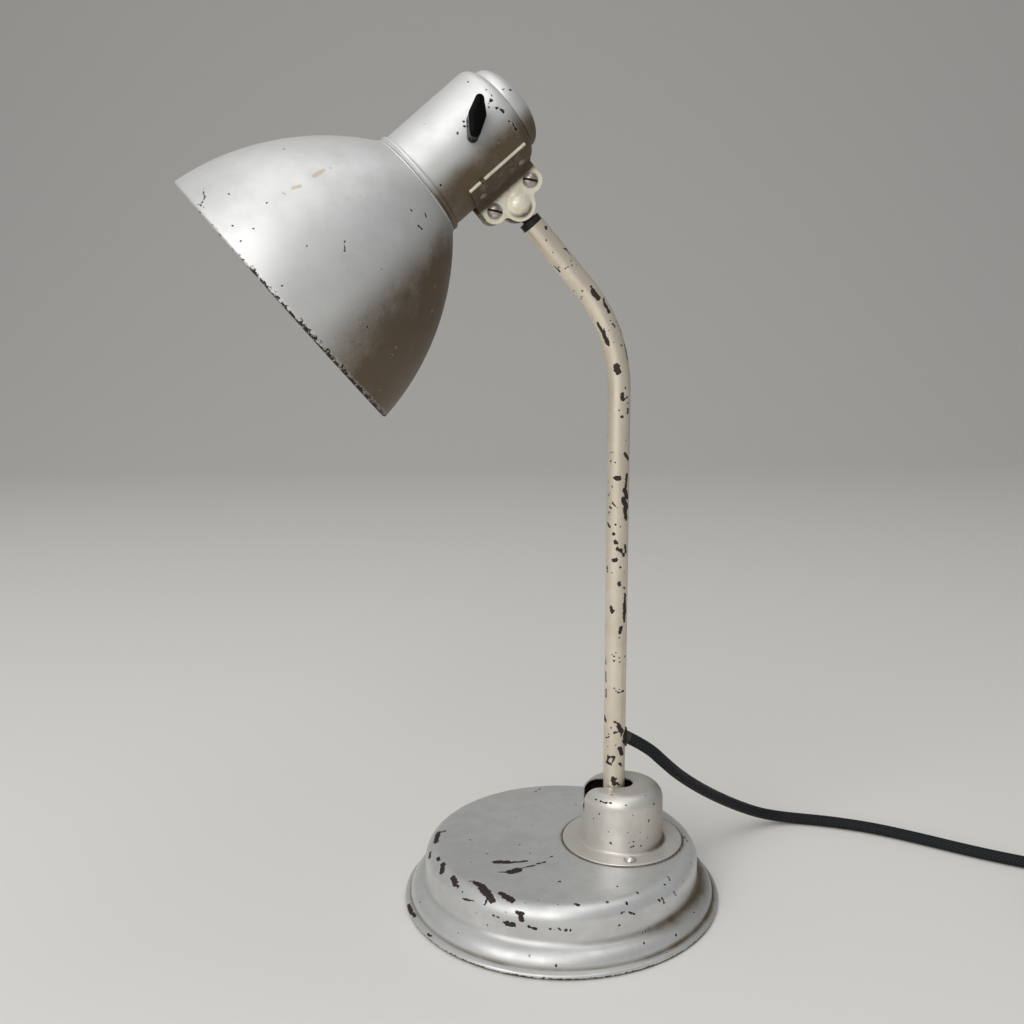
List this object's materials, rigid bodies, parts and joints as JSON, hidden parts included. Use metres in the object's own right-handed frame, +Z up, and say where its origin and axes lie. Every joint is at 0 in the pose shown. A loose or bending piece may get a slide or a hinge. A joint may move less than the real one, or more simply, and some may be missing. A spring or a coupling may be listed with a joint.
{
  "type": "desk lamp",
  "caption": "Desk lamp with a beaded round foot, a bent tube arm hinged in a slotted hub, a bell shade on a clamped ball joint, a side switch key and a braided cord with a plug.",
  "frame": {"origin": "middle of the round foot, on the surface that it stands on", "axes": "+Z up, the arm bends and the shade hangs towards -X, the cord leaves towards +X, and the switch key points to -Y"},
  "size_m": [0.5758, 0.223, 0.4241],
  "materials": {
    "shell_paint": "worn satin silver-grey paint",
    "arm_paint": "worn satin champagne-grey paint",
    "bracket_metal": "aged nickel plate, grimy in the corners",
    "dark_steel": "dull browned steel",
    "iron": "bare casting",
    "brass": "dull brass",
    "bakelite": "polished black resin",
    "felt": "pressed wool felt",
    "braid": "tight black braid",
    "core_rubber": "matt",
    "eyelet_metal": "dull, thinly painted",
    "bulb_glass": "frosted",
    "bulb_metal": "satin",
    "pin_metal": "bright"
  },
  "bodies": {
    "base": {"base_shell": "shell_paint", "base_weight": "iron", "bottom_cover": "dark_steel", "felt_pad": "felt", "hub_cover": "shell_paint", "hub_screws": "dark_steel", "pivot_bracket": "dark_steel", "base_bolt": "dark_steel", "base_nut": "dark_steel", "pivot_bolt": "dark_steel", "pivot_nut": "dark_steel", "friction_washers": "brass", "cord_drop": "braid", "cord_run": "braid", "cord_coil": "braid", "cord_tail": "braid", "plug_sleeve": "bakelite", "plug_body": "bakelite", "plug_pins": "pin_metal"},
    "arm": {"arm_tube": "arm_paint", "arm_foot": "dark_steel", "cord_eyelet": "eyelet_metal", "inner_flex": "core_rubber", "tube_ferrule": "dark_steel"},
    "swivel": {"ball_stem": "dark_steel", "stem_nut": "dark_steel"},
    "head": {"front_plate": "bracket_metal", "rear_plate": "bracket_metal", "clamp_screws": "dark_steel", "clamp_nuts": "dark_steel", "bracket_rivets": "bracket_metal", "head_flex": "core_rubber", "neck_cover": "shell_paint", "end_cap": "shell_paint", "shade": "shell_paint", "shade_ring": "bakelite", "lampholder_body": "bakelite", "socket_sleeve": "brass", "centre_contact": "brass", "bulb_cap": "bulb_metal", "bulb_glass": "bulb_glass", "switch_body": "bakelite"},
    "key": {"switch_key": "bakelite"}
  },
  "joints": [
    {"name": "arm_tilt", "type": "hinge", "parent": "base", "child": "arm", "pos_m": [0.0287, 0, 0.0425], "axis": [0, 1, 0], "range_deg": [-45, 10], "deforming": ["cord_drop"]},
    {"name": "head_twist", "type": "hinge", "parent": "arm", "child": "swivel", "pos_m": [-0.02013, -0.00896, 0.363], "axis": [-0.6394, -0.1174, 0.7598], "range_deg": [-80, 80]},
    {"name": "head_tilt", "type": "hinge", "parent": "swivel", "child": "head", "pos_m": [-0.02013, -0.00896, 0.363], "axis": [-0.1805, 0.9836, 0], "range_deg": [-45, 60]},
    {"name": "switch_turn", "type": "hinge", "parent": "head", "child": "key", "pos_m": [-0.03955, -0.03819, 0.39482], "axis": [0.1226, -0.99, 0.0695], "continuous": true}
  ]
}
